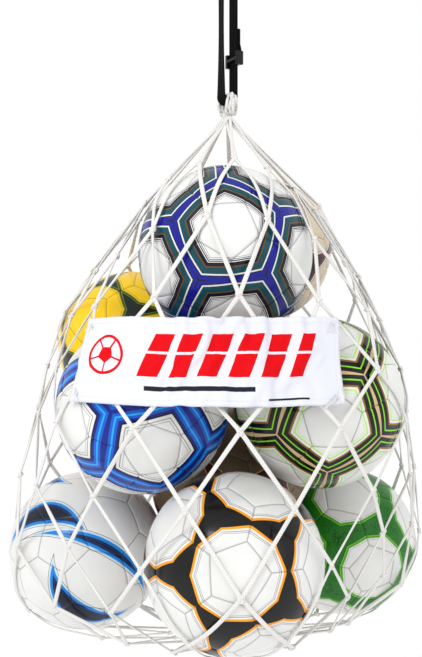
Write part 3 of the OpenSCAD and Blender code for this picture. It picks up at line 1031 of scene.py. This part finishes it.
def drape(cord_points, knots):
    """The cloth's points, held at its corners and pressed on cords, knots and balls, with their U and V."""
    u, v = np.meshgrid(np.linspace(0, 1, COLUMNS + 1), np.linspace(0, 1, LINES + 1))
    z = BANNER_LOW + BANNER_H * v
    left, right = LEFT + LEFT_SLANT * v, RIGHT + RIGHT_SLANT * v
    x = left + (right - left) * u
    p = np.stack([x, front_y(x, z, 0.0085), z], -1)
    corners = [(0, 0), (0, -1), (-1, 0), (-1, -1)]
    pins = [p[c].copy() for c in corners]
    p[..., 1] += 0.0018 * np.sin(x * 95 + 4 * v) * np.sin(math.pi * v) + 0.0012 * np.sin(x * 41 - 7 * v)
    w, h = FLAT_W / COLUMNS, FLAT_H / LINES
    near = np.vstack([cord_points, knots])
    bulk = np.r_[np.full(len(cord_points), CORD_T / 2 + 0.0009), np.full(len(knots), 0.0046)]
    wide = np.r_[np.full(len(cord_points), CORD_W / 2 + 0.0006), np.full(len(knots), 0.0050)]
    keep = (near[:, 1] < 0) & (np.abs(near[:, 2] + 0.58) < 0.07)
    near, bulk, wide = near[keep], bulk[keep], wide[keep]
    for step in range(SETTLE):
        p += (0, 6e-6, -1e-6)
        for start in (0, 1):
            draw_together(p[:, start:-1:2], p[:, start + 1 :: 2], w, 0.9)
            draw_together(p[start:-1:2], p[start + 1 :: 2], h, 0.9)
            draw_together(p[start:-1:2, :-1], p[start + 1 :: 2, 1:], math.hypot(w, h), 0.5)
            draw_together(p[start:-1:2, 1:], p[start + 1 :: 2, :-1], math.hypot(w, h), 0.5)
        for start in range(6):
            draw_together(p[:, start:-3:6], p[:, start + 3 :: 6], 3 * w, 0.25)
            draw_together(p[start:-3:6], p[start + 3 :: 6], 3 * h, 0.25)
        flat = push_out(p.reshape(-1, 3), 0.0009)
        if step % 10 == 0:
            gap = np.linalg.norm(flat[:, None, ::2] - near[None, :, ::2], axis=2) - wide
            over = np.where(gap < 0, near[:, 1] - bulk, 1.0).min(1)
        flat[:, 1] = np.minimum(flat[:, 1], over)
        p = flat.reshape(p.shape)
        for c, pin in zip(corners, pins):
            p[c] = pin
    return p, u * FLAT_W, v * FLAT_H


def banner_material():
    """White cloth with a plain print, in metres: a ball in a ring, slanted bars and two thin lines."""
    g = Paint("banner_cloth", roughness=0.7, ior=1.2)
    u, v = g.uv()[:2]
    red, ink, cloth = (0.84, 0.02, 0.07), (0.14, 0.15, 0.19), (0.865, 0.87, 0.91)

    def inside(value, low, high):
        return g.product(g.math("GREATER_THAN", value, low), g.math("LESS_THAN", value, high))

    slant = g.math("MULTIPLY_ADD", v, -0.38, u)
    beat = g.math("FRACT", g.math("DIVIDE", g.math("SUBTRACT", slant, 0.075), 0.0385))
    bars = g.product(inside(v, 0.034, 0.084), inside(slant, 0.075, 0.2865))
    bars = g.product(bars, g.math("LESS_THAN", beat, 0.66))
    bars = g.product(bars, g.math("SUBTRACT", 1.0, inside(v, 0.0605, 0.0635)))
    cu, cv = g.math("SUBTRACT", u, 0.043), g.math("SUBTRACT", v, 0.058)
    far = g.math("SQRT", g.math("MULTIPLY_ADD", cu, cu, g.product(cv, cv)))
    angle = g.math("ARCTAN2", cu, cv)
    wedge = g.math("PINGPONG", g.math("ADD", angle, math.pi), math.pi / 5)
    side = g.product(far, g.math("COSINE", g.math("SUBTRACT", math.pi / 5, wedge)))
    across = g.product(far, g.math("SINE", wedge))
    spoke = g.product(g.math("LESS_THAN", across, 0.0011), inside(far, 0.008, 0.0225))
    emblem = g.math("MAXIMUM", inside(far, 0.0205, 0.0240), g.math("LESS_THAN", side, 0.0085))
    emblem = g.math("MAXIMUM", emblem, spoke)
    broad = g.product(inside(v, 0.0175, 0.0230), inside(u, 0.098, 0.236))
    lines = g.math("MAXIMUM", broad, g.product(inside(v, 0.0070, 0.0095), inside(u, 0.252, 0.306)))
    fleck = g.noise(1500, 2)
    warp, weft = (g.math("SINE", g.product(way, 9000.0)) for way in (u, v))
    plain = g.ramp(fleck, [(0.3, cloth), (0.7, (0.88, 0.885, 0.92))])
    print_red = g.ramp(fleck, [(0.3, red), (0.7, (0.87, 0.03, 0.08))])
    g.color(g.mix(lines, g.mix(g.math("MAXIMUM", bars, emblem), plain, print_red), ink))
    g.bump(g.product(warp, weft), 0.25, 0.0002)
    return g.material


def hem_stitches(front, n, thread):
    """A row of stitches along each side of the hem."""
    hem = np.s_[HEM:-HEM, HEM:-HEM]
    p, out = front[hem], n[hem]
    sweeps = Sweeps()
    for side in (np.s_[0], np.s_[-1], np.s_[:, 0], np.s_[:, -1]):
        line, away = p[side], out[side]
        for k in range(len(line) - 1):
            add_stitches(sweeps, line[k], line[k + 1], away[k], 0.0034)
    return sweeps.object("banner_hem_stitches", thread)


def corner_ties(p, n, cord_points, thread):
    """At each corner two turns of thread round the nearest cord, knotted in front with two short ends."""
    turn = np.linspace(0, 2 * math.pi, 40, endpoint=False)
    c, s = np.cos(turn)[:, None], np.sin(turn)[:, None]
    ties = Sweeps()
    for corner in ((3, 3), (3, -4), (-4, 3), (-4, -4)):
        hole, away = p[corner], n[corner]
        to = cord_points[np.linalg.norm(cord_points - hole, axis=1).argmin()]
        gap = np.linalg.norm(to - hole)
        along = unit(to - hole) if gap > 0.003 else unit(np.cross(away, (0, 0, 1.0)))
        reach = max(gap, 0.006) / 2
        for k in (-0.5, 0.5):
            shift = along * reach + np.cross(along, away) * k * 0.0014
            ring = hole + shift + c * along * (reach + 0.0022) + s * away * 0.0042
            ties.add(ring, ring - hole - shift, oval(0.0013, 0.0012, 6, 1.0), closed=True)
        knot = hole + away * 0.0035
        for lean in (-0.7, 0.4):
            end = knot + np.array((math.sin(lean) * 0.010, -0.001, -math.cos(lean) * 0.010))
            path = smooth_path([knot, (knot + end) / 2 + away * 0.0015, end], 10)
            ties.add(path, away, oval(0.0012, 0.0011, 6, 1.0))
        bow = knot + 0.0013 * np.stack([np.cos(turn), 0.4 * np.sin(2 * turn), np.sin(turn)], -1)
        ties.add(bow, away, oval(0.0014, 0.0014, 6, 1.0), closed=True)
    return ties.object("banner_corner_ties", thread)


def make_banner(cord_points, knots):
    p, u, v = drape(cord_points, knots)
    n = unit(np.cross(np.gradient(p, axis=1), np.gradient(p, axis=0)))
    n = n * np.where(n[..., 1:2] < 0, 1, -1)
    rim = np.minimum(np.minimum(u, FLAT_W - u), np.minimum(v, FLAT_H - v))
    half = CLOTH_T / 2 * (1 + 0.7 * np.clip((0.0075 - rim) / 0.001, 0, 1))
    front, back = p + n * half[..., None], p - n * half[..., None]
    count = u.size
    grid = np.arange(count).reshape(u.shape)
    quads = np.stack([grid[:-1, :-1], grid[:-1, 1:], grid[1:, 1:], grid[1:, :-1]], -1).reshape(-1, 4)
    loop = np.concatenate([grid[0], grid[1:, -1], grid[-1, -2::-1], grid[-2:0:-1, 0]])
    ahead = np.roll(loop, -1)
    edge = np.stack([loop, loop + count, ahead + count, ahead], -1)
    points = np.vstack([front.reshape(-1, 3), back.reshape(-1, 3)])
    faces = np.vstack([quads, quads[:, ::-1] + count, edge])
    uvs = np.tile(np.stack([u, v], -1).reshape(-1, 2), (2, 1))
    banner = mesh_object("banner_sheet", points, faces.tolist(), uvs, banner_material())

    thread = Paint("tie_thread", roughness=0.7)
    thread.mottle(3000, 1, (0.82, 0.82, 0.83), (0.90, 0.90, 0.90))
    hem = hem_stitches(front, n, thread.material)
    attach(hem, "net")
    ties = corner_ties(p, n, cord_points, thread.material)
    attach(ties, "net")
    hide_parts("banner_ties")

    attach(banner, "net")
    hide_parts("banner_cloth")


make_stage()
make_balls()
rows, cord_points, cord = make_net()
make_mouth(rows[0], cord)
make_tie(cord)
web = web_material()
make_strap(web)
make_spare_end(web)
make_box_stitches()
make_slider()
make_banner(cord_points, np.vstack(rows))
